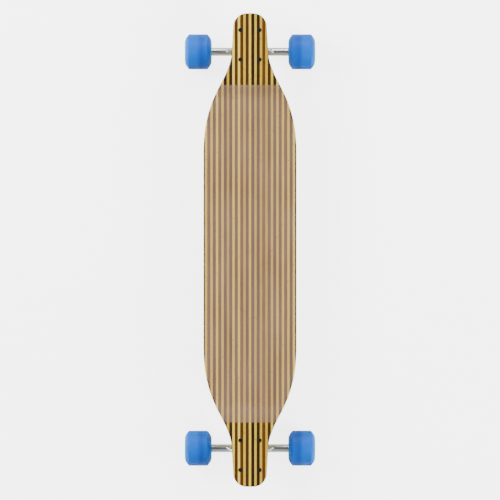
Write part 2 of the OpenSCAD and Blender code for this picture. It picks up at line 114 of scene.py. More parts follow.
def side_point(x, height):
    """Where a point at x, at a height above the deck's underside, lies in the side view."""
    far = abs(x)
    bend_in = half_len - drop_start - drop_run
    bend_out = half_len - drop_start
    if far <= bend_in:
        angle, z = 0.0, platform_z
    elif far >= bend_out:
        angle, z = 0.0, end_z
    elif far < (bend_in + bend_out) / 2:
        angle = math.asin((far - bend_in) / drop_r)
        z = platform_z + drop_r * (1 - math.cos(angle))
    else:
        angle = math.asin((bend_out - far) / drop_r)
        z = end_z - drop_r * (1 - math.cos(angle))
    return x - math.copysign(math.sin(angle), x) * height, z + math.cos(angle) * height


def edge_inset(height):
    """How far the rounded edge lies inside the outline at a height above the underside."""
    reach = max(edge_r - height, height - (deck_t - edge_r), 0)
    return edge_r - math.sqrt(max(edge_r**2 - reach**2, 0))


def layer(heights, inset_at, x_from, x_to, across=20):
    """A closed layer of the deck, from a grid raised into a slab and then laid on the outline."""
    near = np.arange(x_from + tip_run, x_to - tip_run + 1, station_gap)
    tip = tip_run * (1 - np.cos(np.linspace(0, math.pi / 2, 13)))
    stations = np.concatenate([x_from + tip[:-1], near, (x_to - tip[:-1])[::-1]])
    stations = (stations - stations[0]) / (stations[-1] - stations[0])
    bm = bmesh.new()
    bmesh.ops.create_grid(bm, x_segments=len(stations) - 1, y_segments=across, size=1)
    raised = bmesh.ops.extrude_face_region(bm, geom=bm.faces[:])
    for v in raised["geom"]:
        if isinstance(v, bmesh.types.BMVert):
            v.co.z = 1
    upright = [e for e in bm.edges if abs(e.verts[0].co.z - e.verts[1].co.z) > 0.5]
    bmesh.ops.subdivide_edges(bm, edges=upright, cuts=len(heights) - 2)
    tables = [outline(inset_at(h)) for h in heights]
    mark = bm.verts.layers.float.new("height")
    for v in bm.verts:
        level = round(v.co.z * (len(heights) - 1))
        share = stations[round((v.co.x + 1) / 2 * (len(stations) - 1))]
        inset = inset_at(heights[level])
        low_x = max(x_from, -half_len + inset)
        high_x = min(x_to, half_len - inset)
        x, z = side_point(low_x + share * (high_x - low_x), heights[level])
        y = v.co.y * np.interp(abs(x), *tables[level])
        v[mark] = heights[level]
        v.co = (x, y, z)
    bmesh.ops.recalc_face_normals(bm, faces=bm.faces)
    return bm


def piece(name, bm, material, body=None, stands_for=(), sharp=crease):
    """Turns a bmesh in millimetres into a finished object in metres, and rides it on a body."""
    bmesh.ops.scale(bm, vec=(MM, MM, MM), verts=bm.verts)
    mesh = bpy.data.meshes.new(name)
    bm.to_mesh(mesh)
    bm.free()
    mesh.materials.append(material)
    mesh.shade_smooth()
    mesh.set_sharp_from_angle(angle=math.radians(sharp))
    made = bpy.data.objects.new(name, mesh)
    bpy.context.scene.collection.objects.link(made)
    if body:
        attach(made, body)
    if stands_for:
        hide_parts(*stands_for)
    return made


def colour(hex_code):
    """An sRGB hex value as linear red, green, blue and alpha."""
    parts = [int(hex_code[i : i + 2], 16) / 255 for i in (1, 3, 5)]
    return [p / 12.92 if p <= 0.04045 else ((p + 0.055) / 1.055) ** 2.4 for p in parts] + [1.0]


def finish(name, **sockets):
    """A new material and its Principled shader, with values set on the shader's own sockets."""
    material = bpy.data.materials.new(name)
    material.use_nodes = True
    shader = material.node_tree.nodes["Principled BSDF"]
    for socket, value in sockets.items():
        shader.inputs[socket.replace("_", " ")].default_value = value
    return material, shader


def add(material, kind, feeds=None, **settings):
    """Adds a shader node with its settings, and feeds its inputs with values or with outputs."""
    made = material.node_tree.nodes.new("ShaderNode" + kind)
    for name, value in settings.items():
        setattr(made, name, value)
    for name, value in (feeds or {}).items():
        if isinstance(value, bpy.types.NodeSocket):
            material.node_tree.links.new(value, made.inputs[name])
        else:
            made.inputs[name].default_value = value
    return made


def link(material, output, socket):
    material.node_tree.links.new(output, socket)


def ramp(material, factor, stops, smooth=False):
    """A colour ramp with (position, colour) stops."""
    made = add(material, "ValToRGB", {"Fac": factor})
    made.color_ramp.interpolation = "EASE" if smooth else "LINEAR"
    ends = made.color_ramp.elements
    while len(ends) < len(stops):
        ends.new(0.5)
    for element, (place, tone) in zip(ends, stops):
        element.position = place
        element.color = colour(tone) if isinstance(tone, str) else (tone, tone, tone, 1)
    return made.outputs["Color"]


def millimetres(material, scale=(1, 1, 1)):
    """Object coordinates in millimetres, stretched for a pattern."""
    at = add(material, "TexCoord").outputs["Object"]
    stretched = add(material, "Mapping", {"Vector": at, "Scale": [share / MM for share in scale]})
    return stretched.outputs["Vector"]


def bump(material, shader, height, distance):
    """Feeds a height in metres to the shader as bump."""
    made = add(material, "Bump", {"Height": height, "Distance": distance, "Strength": 1.0})
    link(material, made.outputs["Normal"], shader.inputs["Normal"])


# Plywood edge: each 1.6 mm ply is cut along or across its grain, so pale and brown lines alternate,
# dull and a little fibrous under thin lacquer.
plywood, shader = finish("maple plywood edge", Roughness=0.55)
height = add(plywood, "Attribute", attribute_name="height").outputs["Fac"]
waver = add(plywood, "TexNoise", {"Vector": millimetres(plywood, (0.02, 0.02, 0.1)), "Scale": 1.0})
level = add(plywood, "Math", {0: height, 1: waver.outputs["Fac"]}, operation="ADD")
ply = add(plywood, "Math", {0: level.outputs[0], 1: ply_pair}, operation="FLOORED_MODULO")
share = add(plywood, "Math", {0: ply.outputs[0], 1: ply_pair}, operation="DIVIDE")
tone = ramp(plywood, share.outputs[0],
            [(0.0, core_light), (0.46, core_light), (0.5, core_dark), (0.96, core_dark)])
fibre = add(plywood, "TexNoise", {"Vector": millimetres(plywood, (0.15, 0.15, 4.0)), "Scale": 1.0,
                                  "Detail": 4.0})
shade = ramp(plywood, fibre.outputs["Fac"], [(0.3, 0.82), (0.7, 1.0)])
mixed = add(plywood, "Mix", {0: 1.0, 6: tone, 7: shade}, data_type="RGBA", blend_type="MULTIPLY")
link(plywood, mixed.outputs[2], shader.inputs["Base Color"])
bump(plywood, shader, fibre.outputs["Fac"], fibre_relief)

core_heights = [veneer_t, 2.0, 2.6, edge_r, deck_t - edge_r, 8.4, 9.0, deck_t - veneer_t]
core = layer(core_heights, edge_inset, -half_len, half_len)
core = piece("deck_core_plies", core, plywood, "deck", ["deck_core"])


# ---- Bolt holes in the deck ----
# Eight holes are drilled through the deck at the two standard truck patterns and countersunk
# from above, so that the bolt heads lie flush under the rider's feet.

truck_inset = 68.0
bolt_gap_x = 63.5
bolt_gap_y = 41.275
bolt_r = 2.4
head_r = 4.6
head_h = 2.6
hole_gap = 0.3
cut_over = 1.5
merge_gap = 0.001
ENDS = {"front": 1, "rear": -1}
SIDES = {"left": 1, "right": -1}


def truck_place(end):
    """Middle of a truck's bolt pattern on the deck's underside, with +X to the deck's end."""
    return (Matrix.Translation((ENDS[end] * (half_len - truck_inset), 0, end_z))
            @ Matrix.Rotation(0 if end == "front" else math.pi, 4, "Z"))


def bolt_places(end):
    return [truck_place(end) @ Matrix.Translation((x * bolt_gap_x / 2, y * bolt_gap_y / 2, 0))
            for x in (-1, 1) for y in (-1, 1)]


def lathe(profile, steps=32, place=None, closed=True):
    """Turns a profile of (radius, height) about Z with a full spin, and puts it in its place."""
    bm = bmesh.new()
    line = [bm.verts.new((r, 0, z)) for r, z in profile]
    pairs = list(zip(line, line[1:])) + ([(line[-1], line[0])] if closed else [])
    edges = [bm.edges.new(pair) for pair in pairs]
    bmesh.ops.spin(bm, geom=line + edges, cent=(0, 0, 0), axis=(0, 0, 1),
                   angle=2 * math.pi, steps=steps, use_merge=True)
    bmesh.ops.remove_doubles(bm, verts=bm.verts, dist=merge_gap)
    bmesh.ops.recalc_face_normals(bm, faces=bm.faces)
    if place is not None:
        bm.transform(place)
    return bm


def joined(parts):
    """Several bmeshes as one."""
    whole = bmesh.new()
    for part in parts:
        mesh = bpy.data.meshes.new("part")
        part.to_mesh(mesh)
        part.free()
        whole.from_mesh(mesh)
        bpy.data.meshes.remove(mesh)
    return whole


def baked(made):
    """Applies an object's modifiers to its mesh."""
    graph = bpy.context.evaluated_depsgraph_get()
    mesh = bpy.data.meshes.new_from_object(made.evaluated_get(graph))
    made.modifiers.clear()
    made.data = mesh
    return made


def drilled(made):
    """Cuts the eight bolt holes out of a layer of the deck."""
    slope = (head_r - bolt_r) / head_h
    hole_r = bolt_r + hole_gap
    wide_r = head_r + hole_gap / 2 + slope * cut_over
    profile = [(0, -cut_over), (hole_r, -cut_over), (hole_r, deck_t - head_h),
               (wide_r, deck_t + cut_over), (0, deck_t + cut_over)]
    cutter = piece("cutter", joined([lathe(profile, 24, place, closed=False)
                                     for end in ENDS for place in bolt_places(end)]), plywood)
    cut = made.modifiers.new("holes", "BOOLEAN")
    cut.object = cutter
    cut.solver = "EXACT"
    baked(made)
    bpy.data.objects.remove(cutter)
    made.data.set_sharp_from_angle(angle=math.radians(crease))
    return made


drilled(core)


# ---- Bottom face veneer ----
# One sheet of rotary-cut maple under satin lacquer. Peeling the log round and round leaves wavy,
# nested grain lines that run along the board, and pale brown flecks.

maple_pale = "#D3BC74"
maple_mid = "#B49C55"
maple_line = "#8A6A30"
rings_each = 15.0
pore_relief = 0.00008
face_depths = [0.0, 0.12, 0.4, 0.85, veneer_t]

# Satin lacquer over pale wood: a soft sheen, with the grain drawn in thin brown contour lines.
maple, shader = finish("lacquered maple veneer", Roughness=0.42, Coat_Weight=0.25, Coat_Roughness=0.25)
wave = add(maple, "TexNoise", {"Vector": millimetres(maple, (0.0035, 0.017, 0.01)), "Scale": 1.0,
                               "Detail": 2.5, "Roughness": 0.45, "Distortion": 0.35})
rings = add(maple, "Math", {0: wave.outputs["Fac"], 1: rings_each}, operation="MULTIPLY")
ring = add(maple, "Math", {0: rings.outputs[0], 1: 1.0}, operation="FLOORED_MODULO")
line = ramp(maple, ring.outputs[0], [(0.0, 0.85), (0.07, 0.1), (0.55, 0.0), (0.86, 0.15), (1.0, 0.85)])
flecks = add(maple, "TexNoise", {"Vector": millimetres(maple, (0.03, 0.9, 0.4)), "Scale": 1.0, "Detail": 5.0})
fleck = ramp(maple, flecks.outputs["Fac"], [(0.35, 0.75), (0.62, 1.0)])
broad = add(maple, "TexNoise", {"Vector": millimetres(maple, (0.004, 0.02, 0.01)), "Scale": 1.0,
                                "Detail": 1.0})
ground = ramp(maple, broad.outputs["Fac"], [(0.3, maple_mid), (0.7, maple_pale)])
lined = add(maple, "Mix", {0: line, 6: ground, 7: colour(maple_line)}, data_type="RGBA")
mixed = add(maple, "Mix", {0: 0.45, 6: lined.outputs[2], 7: fleck}, data_type="RGBA", blend_type="MULTIPLY")
link(maple, mixed.outputs[2], shader.inputs["Base Color"])
bump(maple, shader, flecks.outputs["Fac"], pore_relief)

under = layer(face_depths, edge_inset, -half_len, half_len)
under = piece("bottom_veneer", under, maple, "deck", ["deck_bottom_veneer"])
drilled(under)


# ---- Top face veneer ----
# Strips of natural and of smoked bamboo, glued side by side and sliced into a striped sheet,
# then lacquered. Each strip keeps its own tone, its long fibres and a few nodes across it.

stripe_pitch = 11.8
dark_share = 0.6
smoked_dark = "#1A0800"
smoked_light = "#563206"
natural_dark = "#A88A24"
natural_light = "#E2C64A"
line_w = 0.02
wander_mm = 0.35
node_gap = 260.0
node_spread = 900.0
pole_relief = 0.00006

# Lacquered bamboo: straight fine fibres, hard edges between the strips and a faint gloss.
bamboo, shader = finish("striped bamboo laminate", Roughness=0.4, Specular_IOR_Level=0.2,
                        Coat_Weight=0.1, Coat_Roughness=0.2)
across = add(bamboo, "SeparateXYZ", {0: millimetres(bamboo)}).outputs["Y"]
drift = add(bamboo, "TexNoise", {"Vector": millimetres(bamboo, (0.006, 0.05, 0)), "Scale": 1.0})
wander = add(bamboo, "MapRange", {0: drift.outputs["Fac"], 3: -wander_mm, 4: wander_mm})
shifted = add(bamboo, "Math", {0: across, 1: wander.outputs[0]}, operation="ADD")
# the board's middle line runs down the middle of a natural strip
steps = add(bamboo, "Math", {0: shifted.outputs[0], 1: 1 / stripe_pitch, 2: 0.5 + dark_share / 2},
            operation="MULTIPLY_ADD")
strip = add(bamboo, "Math", {0: steps.outputs[0]}, operation="FLOOR")
within = add(bamboo, "Math", {0: steps.outputs[0]}, operation="FRACT")
dark = ramp(bamboo, within.outputs[0], [(0.0, 0.0), (line_w, 1.0), (dark_share - line_w, 1.0),
                                        (dark_share + line_w / 2, 0.0)])
# every strip draws a tone of its own, and the fibres vary round it
own = add(bamboo, "Math", {0: strip.outputs[0], 1: dark}, operation="ADD")
chance = add(bamboo, "TexWhiteNoise", {"W": own.outputs[0]}, noise_dimensions="1D")
grain = add(bamboo, "TexNoise", {"Vector": millimetres(bamboo, (0.012, 1.6, 0.5)), "Scale": 1.0,
                                 "Detail": 6.0, "Roughness": 0.6})
tone = add(bamboo, "Math", {0: chance.outputs["Value"], 1: 0.5, 2: -0.25}, operation="MULTIPLY_ADD")
tone = add(bamboo, "Math", {0: tone.outputs[0], 1: grain.outputs["Fac"]}, operation="ADD")
smoked = ramp(bamboo, tone.outputs[0], [(0.25, smoked_dark), (0.8, smoked_light)])
natural = ramp(bamboo, tone.outputs[0], [(0.2, natural_dark), (0.75, natural_light)])
along = add(bamboo, "SeparateXYZ", {0: millimetres(bamboo)}).outputs["X"]
# each strip's growth rings stand at a place of their own
offset = add(bamboo, "Math", {0: chance.outputs["Value"], 1: node_spread, 2: along},
             operation="MULTIPLY_ADD")
joint = add(bamboo, "Math", {0: offset.outputs[0], 1: node_gap}, operation="FLOORED_MODULO")
share = add(bamboo, "Math", {0: joint.outputs[0], 1: node_gap}, operation="DIVIDE")
knuckle = ramp(bamboo, share.outputs[0], [(0.0, 0.78), (0.004, 0.62), (0.012, 0.9), (0.02, 1.0)])
stripes = add(bamboo, "Mix", {0: dark, 6: natural, 7: smoked}, data_type="RGBA")
mixed = add(bamboo, "Mix", {0: 1.0, 6: stripes.outputs[2], 7: knuckle}, data_type="RGBA",
            blend_type="MULTIPLY")
link(bamboo, mixed.outputs[2], shader.inputs["Base Color"])
bump(bamboo, shader, grain.outputs["Fac"], pole_relief)

top = layer([deck_t - depth for depth in reversed(face_depths)], edge_inset, -half_len, half_len)
top = piece("striped_top_veneer", top, bamboo, "deck", ["deck_top_veneer"])
drilled(top)


# ---- Grip sheet ----
# A clear, frosted sheet with fine glass grit on top and glue below. It is cut straight across at
# both ends and rolled down onto the platform, so the striped veneer shows through it.

grip_t = 0.8
grip_gap = 0.12
edge_margin = 1.2
grip_low, grip_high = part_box("grip_sheet")
grip_inset = half_w - grip_high.y / MM
grip_pale = "#D0AC92"
grip_dark = "#B9937C"
grit_mm = 1.3  # real grit is about 0.3 mm, drawn coarser so that it shows
grit_relief = 0.0003

# Clear film with glass grit: it scatters a pale veil over the stripes and has a dry, matt look.
frosted, shader = finish("clear grip with glass grit", Roughness=0.62, Alpha=0.16, Specular_IOR_Level=0.25)
grit = add(frosted, "TexVoronoi", {"Vector": millimetres(frosted, (1 / grit_mm,) * 3), "Scale": 1.0})
cloud = add(frosted, "TexNoise", {"Vector": millimetres(frosted, (0.01, 0.03, 0.01)), "Scale": 1.0})
veil = ramp(frosted, cloud.outputs["Fac"], [(0.3, grip_dark), (0.7, grip_pale)])
specks = ramp(frosted, grit.outputs["Distance"], [(0.0, 1.0), (0.7, 0.86)])
mixed = add(frosted, "Mix", {0: 1.0, 6: veil, 7: specks}, data_type="RGBA", blend_type="MULTIPLY")
link(frosted, mixed.outputs[2], shader.inputs["Base Color"])
bump(frosted, shader, grit.outputs["Distance"], grit_relief)


def grip_edge(height):
    """The sheet's cut edge is a little rounded where it meets the rounded wood."""
    return grip_inset + edge_margin + max(height - deck_t, 0)


def cut_at(x):
    """Where along the deck a cut has to start for the sheet's underside to end at x on the slope."""
    along = x
    for _ in range(12):
        along += x - side_point(along, deck_t + grip_gap)[0]
    return along


grip = layer([deck_t + grip_gap, deck_t + grip_t / 2, deck_t + grip_t], grip_edge,
             cut_at(grip_low.x / MM), cut_at(grip_high.x / MM))
piece("clear_grip_sheet", grip, frosted, "deck", ["grip_sheet"])


# ---- Deck bolts ----
# Eight black steel machine screws with countersunk socket heads. Each goes down through the deck
# and the baseplate, and its bright cut end stands out below the nut.

plate_t = 6.0
nut_h = 5.0
bolt_tail = 2.2
bolt_end_taper = 0.6
thread_run_out = 0.4
thread_top = -2.0
head_edge = 0.1
head_edge_in = 0.15
socket_r = 1.75
socket_rim = 0.5
socket_bevel = 0.3
socket_depth = 1.6
socket_cone = 0.4
ring_gap = 0.01
hex_steps = 36  # a multiple of six, so that the hexagon's corners fall on points of the ring
cut_z = end_z - plate_t - nut_h - thread_run_out
cut_fade = 0.3
black_relief = 0.00008


def black_steel(name, bright_below=None):
    """Oxide-black steel: dark with a dull sheen, and bright where it was cut after blackening."""
    steel, shader = finish(name, Metallic=0.6, Roughness=0.42)
    spots = add(steel, "TexNoise", {"Vector": millimetres(steel, (0.5, 0.5, 0.5)), "Scale": 1.0,
                                    "Detail": 5.0})
    tone = ramp(steel, spots.outputs["Fac"], [(0.35, "#0C0C0E"), (0.75, "#222226")])
    if bright_below is not None:
        level = add(steel, "SeparateXYZ", {0: millimetres(steel)}).outputs["Z"]
        bare = add(steel, "MapRange", {0: level, 1: bright_below, 2: bright_below - cut_fade})
        cut = add(steel, "Mix", {0: bare.outputs[0], 6: tone, 7: colour("#D5D7DA")}, data_type="RGBA")
        tone = cut.outputs[2]
    link(steel, tone, shader.inputs["Base Color"])
    link(steel, ramp(steel, spots.outputs["Fac"], [(0.3, 0.3), (0.7, 0.5)]), shader.inputs["Roughness"])
    bump(steel, shader, spots.outputs["Fac"], black_relief)
    return steel


blackened = black_steel("blackened steel")
cut_bolts = black_steel("blackened steel with bright cut ends", cut_z)


def thread(radius, low, high, pitch=1.0, depth=0.3):
    """Profile points up a threaded stretch. The thread is drawn as close-set rings."""
    turns = round((high - low) / pitch)
    points = []
    for i in range(turns):
        z = low + (high - low) * i / turns
        points += [(radius - depth, z), (radius, z + pitch / 2)]
    return points + [(radius - depth, high)]


def hexed(bm, across_flats, inner, outer, low, high):
    """Moves the rings of a lathed piece that lie in a band out or in to a hexagon."""
    for v in bm.verts:
        r = math.hypot(v.co.x, v.co.y)
        if inner <= r <= outer and low <= v.co.z <= high:
            turn = math.atan2(v.co.y, v.co.x) % (math.pi / 3) - math.pi / 6
            grow = across_flats / 2 / math.cos(turn) / r
            v.co.x *= grow
            v.co.y *= grow


def bolt(place):
    """One screw, from its cut end up to the hexagon socket in its head."""
    tail = plate_t + nut_h + bolt_tail
    floor = deck_t - socket_depth
    profile = [(0, -tail), (bolt_r - bolt_end_taper, -tail)]
    profile += thread(bolt_r, -tail + thread_run_out, thread_top)
    profile += [(bolt_r, thread_top + thread_run_out), (bolt_r, deck_t - head_h),
                (head_r, deck_t - head_edge), (head_r - head_edge_in, deck_t),
                (socket_r + socket_rim, deck_t), (socket_r, deck_t - socket_bevel), (socket_r, floor),
                (0, floor - socket_cone)]
    bm = lathe(profile, hex_steps, closed=False)
    hexed(bm, 2 * socket_r, socket_r - ring_gap, socket_r + ring_gap, floor - ring_gap, deck_t)
    bm.transform(place)
    return bm


for end in ENDS:
    piece(f"{end}_socket_bolts", joined([bolt(place) for place in bolt_places(end)]), cut_bolts,
          "deck", [f"{end}_deck_bolts"])


# ---- Deck nuts ----
# Black locking nuts with a nylon ring pressed into a raised collar. They pull the baseplate up
# against the underside of the deck.

nut_flats = 9.5
nut_hex_share = 0.72
nut_face_share = 0.95
nut_collar_share = 0.94
nut_bore_bevel = 0.4
nut_bore_sink = 0.3
nut_corner_bevel = 0.55
nut_shoulder = 0.3
nut_collar_in = 0.7
nut_collar_drop = 0.8
nylon_w = 0.9
nylon_in = 0.7
nylon_sink = 0.5
nylon_floor = 0.6


def lock_nut(flats, height, bore_r, place):
    """A hexagon nut with chamfered corners below and a round collar with a nylon ring above."""
    corner_r = flats / 2 / math.cos(math.pi / 6)
    hex_top = height * nut_hex_share
    collar_r = flats / 2 * nut_collar_share
    profile = [(bore_r, nut_bore_sink), (bore_r + nut_bore_bevel, 0), (flats / 2 * nut_face_share, 0),
               (corner_r, nut_corner_bevel), (corner_r, hex_top - nut_shoulder),
               (collar_r, hex_top + nut_shoulder / 2), (collar_r, height - nut_collar_drop),
               (collar_r - nut_collar_in, height), (bore_r + nylon_w, height),
               (bore_r + nylon_in, height - nylon_sink), (bore_r, height - nylon_floor)]
    bm = lathe(profile, hex_steps)
    hexed(bm, flats, corner_r - ring_gap, corner_r + ring_gap, 0, hex_top)
    bm.transform(place)
    return bm


upside_down = Matrix.Rotation(math.pi, 4, "X")
for end in ENDS:
    below = Matrix.Translation((0, 0, -plate_t)) @ upside_down
    nuts = [lock_nut(nut_flats, nut_h, bolt_r, place @ below) for place in bolt_places(end)]
    piece(f"{end}_lock_nuts", joined(nuts), blackened, "deck", [f"{end}_deck_nuts"])


# ---- Baseplates ----
# Each is one aluminium casting: a flange under the deck, a slanted tower that holds the kingpin
# and a housing for the pivot cup. It was tumbled bright, and every inner corner has a fillet.

weld = 1e-6
cast_relief = 0.00012

# Sand-cast and tumbled: a broken, satin shine over a fine pebbled skin.
casting, shader = finish("tumbled cast aluminium", Metallic=1.0, Roughness=0.36)
grains = add(casting, "TexNoise", {"Vector": millimetres(casting, (0.9, 0.9, 0.9)), "Scale": 1.0,
                                   "Detail": 6.0})
patches = add(casting, "TexNoise", {"Vector": millimetres(casting, (0.05, 0.05, 0.05)), "Scale": 1.0,
                                    "Detail": 3.0})
link(casting, ramp(casting, patches.outputs["Fac"], [(0.3, "#AEB1B5"), (0.7, "#CFD1D4")]),
     shader.inputs["Base Color"])
link(casting, ramp(casting, patches.outputs["Fac"], [(0.3, 0.42), (0.7, 0.28)]), shader.inputs["Roughness"])
bump(casting, shader, grains.outputs["Fac"], cast_relief)


def cast(name, node, place, material, body, voxel, passes):
    """A casting from its CAD solid: merged, remeshed along its own axes and smoothed for fillets."""
    turn = place.to_3x3().to_4x4()
    bm = bmesh.new()
    bm.from_mesh(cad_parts[node].data)
    bmesh.ops.remove_doubles(bm, verts=bm.verts, dist=weld)
    bmesh.ops.scale(bm, vec=(1 / MM,) * 3, verts=bm.verts)
    bm.transform(turn.inverted())
    made = piece(name, bm, material)
    mesher = made.modifiers.new("even mesh", "REMESH")
    mesher.mode = "VOXEL"
    mesher.voxel_size = voxel * MM
    relax = made.modifiers.new("fillets", "SMOOTH")
    relax.factor = 0.5
    relax.iterations = passes
    baked(made)
    made.data.transform(turn)
    made.data.materials.clear()
    made.data.materials.append(material)
    made.data.shade_smooth()
    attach(made, body)
    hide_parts(node)
    return made


for end in ENDS:
    cast(f"{end}_cast_baseplate", f"{end}_baseplate", truck_place(end), casting, "deck",
         voxel=0.8, passes=6)


# ---- Pivot cups ----
# A black urethane cup pressed into each baseplate's housing. Its lip stands a little proud, and
# the hanger's pivot pin turns in it.

pivot_angle = math.radians(42)
axle_inset = 11.0
truck_h = 75.0
axle_back = 22.3
axle_drop = 10.3
cup_mouth = 48.0
cup_depth = 12.0
cup_r = 9.25
cup_floor = 1.5
cup_bevel = 1.0
lip_proud = 1.0
lip_steps = ((0.2, 0.7), (0.8, lip_proud))
pivot_r = 6.0
pivot_gap = 0.05
fine_steps = 48
a_dir = Vector((math.cos(pivot_angle), 0, math.sin(pivot_angle)))
k_dir = Vector((math.sin(pivot_angle), 0, -math.cos(pivot_angle)))
axle_at = Vector((-axle_inset, 0, -truck_h))
ring_at = axle_at + axle_back * a_dir - axle_drop * k_dir


def pivot_place(end):
    """Middle of the hanger's ring, with +Z along the steering axis to the pivot."""
    turn = Matrix.Rotation(math.pi / 2 - pivot_angle, 4, "Y")
    return truck_place(end) @ Matrix.Translation(ring_at) @ turn


def kingpin_place(end):
    """Middle of the hanger's ring, with +Z along the kingpin to its nut."""
    turn = Matrix.Rotation(math.pi - pivot_angle, 4, "Y")
    return truck_place(end) @ Matrix.Translation(ring_at) @ turn


def dressed(material, shader, tint, tones, gloss, roughs, relief):
    """Colour from one pattern, and roughness and bump from another."""
    link(material, ramp(material, tint.outputs["Fac"], tones), shader.inputs["Base Color"])
    link(material, ramp(material, gloss.outputs["Fac"], roughs), shader.inputs["Roughness"])
    bump(material, shader, gloss.outputs["Fac"], relief)


# Poured in a mould: nearly black, with the soft, slightly waxy shine of hard rubber.
urethane, shader = finish("black cast urethane", Roughness=0.42, IOR=1.5)
mottle = add(urethane, "TexNoise", {"Vector": millimetres(urethane, (0.3, 0.3, 0.3)), "Scale": 1.0,
                                    "Detail": 4.0})
dressed(urethane, shader, mottle, [(0.3, "#0E0E10"), (0.7, "#1F1F22")],
        mottle, [(0.3, 0.5), (0.7, 0.34)], relief=0.0001)

for end in ENDS:
    bottom = cup_mouth + cup_depth
    inner_r = pivot_r + pivot_gap
    ball = bottom - cup_floor - pivot_r
    inner = [(inner_r * math.cos(t), ball + inner_r * math.sin(t)) for t in np.linspace(0, math.pi / 2, 10)]
    profile = [(0, bottom), (cup_r - cup_bevel, bottom), (cup_r, bottom - cup_bevel), (cup_r, cup_mouth)]
    profile += [(cup_r - inward, cup_mouth - proud) for inward, proud in lip_steps]
    profile += [(pivot_r + lip_proud, cup_mouth - lip_proud), (inner_r, cup_mouth)]
    bm = lathe(profile + inner, fine_steps, pivot_place(end), closed=False)
    piece(f"{end}_urethane_cup", bm, urethane, "deck", [f"{end}_pivot_cup"])


# ---- Kingpins, washers and kingpin nuts ----
# A hardened bolt holds each hanger to its baseplate. Its head is pulled into the tower's pocket,
# and the nut squeezes the two bushings through a cupped washer.

ring_web = 8.0
board_h = 14.0
road_h = 12.0
tower_len = 23.0
kingpin_r = 4.75
kingpin_head_r = 8.0
kingpin_head_h = 6.0
kingpin_face_share = 0.9
kingpin_bevel = 0.8
kingpin_under = 0.2
kingpin_under_in = 0.3
kingpin_tip = 1.0
kingpin_tip_in = 1.2
thread_start = 0.2
thread_stop = 0.6
washer_r = 13.0
washer_t = 2.0
washer_round = 0.7
washer_edge = 0.5
washer_edge_in = 0.6
kingpin_nut_h = 7.0
kingpin_flats = 14.3
tower_face = -(ring_web / 2 + board_h)
tower_back = tower_face - tower_len
washer_at = ring_web / 2 + road_h
kingpin_end = washer_at + washer_t + kingpin_nut_h

for end in ENDS:
    place = kingpin_place(end)
    head = tower_back - kingpin_head_h
    corner = kingpin_head_r / math.cos(math.pi / 6)
    tip = kingpin_end + kingpin_tip
    profile = [(0, head), (kingpin_head_r * kingpin_face_share, head), (corner, head + kingpin_bevel),
               (corner, tower_back - kingpin_under), (corner - kingpin_under_in, tower_back),
               (kingpin_r, tower_back), (kingpin_r, washer_at)]
    profile += thread(kingpin_r, washer_at + thread_start, kingpin_end + thread_stop)
    profile += [(kingpin_r - kingpin_tip_in, tip), (0, tip)]
    bm = lathe(profile, hex_steps, closed=False)
    hexed(bm, 2 * kingpin_head_r, corner - ring_gap, corner + ring_gap, head, tower_back)
    bm.transform(place)
    piece(f"{end}_kingpin_bolt", bm, blackened, "deck", [f"{end}_kingpin"])
    nut_from = washer_at + washer_t
    profile = [(kingpin_r, washer_at), (washer_r - washer_edge_in, washer_at),
               (washer_r, washer_at + washer_edge), (washer_r, nut_from - washer_round),
               (washer_r - washer_round, nut_from), (kingpin_r, nut_from)]
    piece(f"{end}_steel_cup_washer", lathe(profile, fine_steps, place), blackened, "deck",
          [f"{end}_cup_washer"])
    nut = lock_nut(kingpin_flats, kingpin_nut_h, kingpin_r, place @ Matrix.Translation((0, 0, nut_from)))
    piece(f"{end}_kingpin_lock_nut", nut, blackened, "deck", [f"{end}_kingpin_nut"])


# ---- Bushings ----
# Black urethane springs on the kingpin: a barrel between the tower and the hanger's ring, and a
# cone between the ring and the washer. Leaning the board squeezes one side of each.

bushing_r = 14.0
tip_r = 10.0
seat_depth = 3.0
bore_gap = 0.2
barrel_swell = 1.6
barrel_edge = 1.0
seat_edge = 0.5
cone_swell = 0.5
rim_round = 0.6


def bore_rows(start, end):
    """Points down the bore, in six rows from one end to the other."""
    return [(kingpin_r + bore_gap, z) for z in np.linspace(start, end, 6)]


for end in ENDS:
    body = f"{end}_truck"
    place = kingpin_place(end)
    seat = -ring_web / 2
    barrel_h = board_h - seat_depth - 2 * barrel_edge
    swell = [(bushing_r - barrel_swell * (1 - math.sin(t)), tower_face + barrel_edge + barrel_h * t / math.pi)
             for t in np.linspace(0, math.pi, 9)]
    profile = [(bushing_r - barrel_swell - barrel_edge, tower_face)] + swell
    profile += [(bushing_r - rim_round, seat - seat_depth), (bushing_r, seat - seat_depth + seat_edge),
                (bushing_r, seat)] + bore_rows(seat, tower_face)
    barrel = piece(f"{end}_barrel_bushing", lathe(profile, fine_steps, place), urethane, None,
                   [f"{end}_board_bushing"])
    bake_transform(barrel)
    low = ring_web / 2
    cone_h = road_h - seat_depth - rim_round
    taper = [(bushing_r + (tip_r - bushing_r) * share + cone_swell * math.sin(math.pi * share),
              low + seat_depth + cone_h * share) for share in np.linspace(0, 1, 9)]
    profile = [(bushing_r, low)] + taper + [(tip_r - rim_round, washer_at)] + bore_rows(washer_at, low)
    cone = piece(f"{end}_cone_bushing", lathe(profile, fine_steps, place), urethane, None,
                 [f"{end}_road_bushing"])
    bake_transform(cone)


# ---- Hangers ----
# One polished aluminium casting each: a tube for the axle, a ring that the bushings grip, webs
# between the two and a pivot pin. The fine scratches run along the tube, as it was belted.

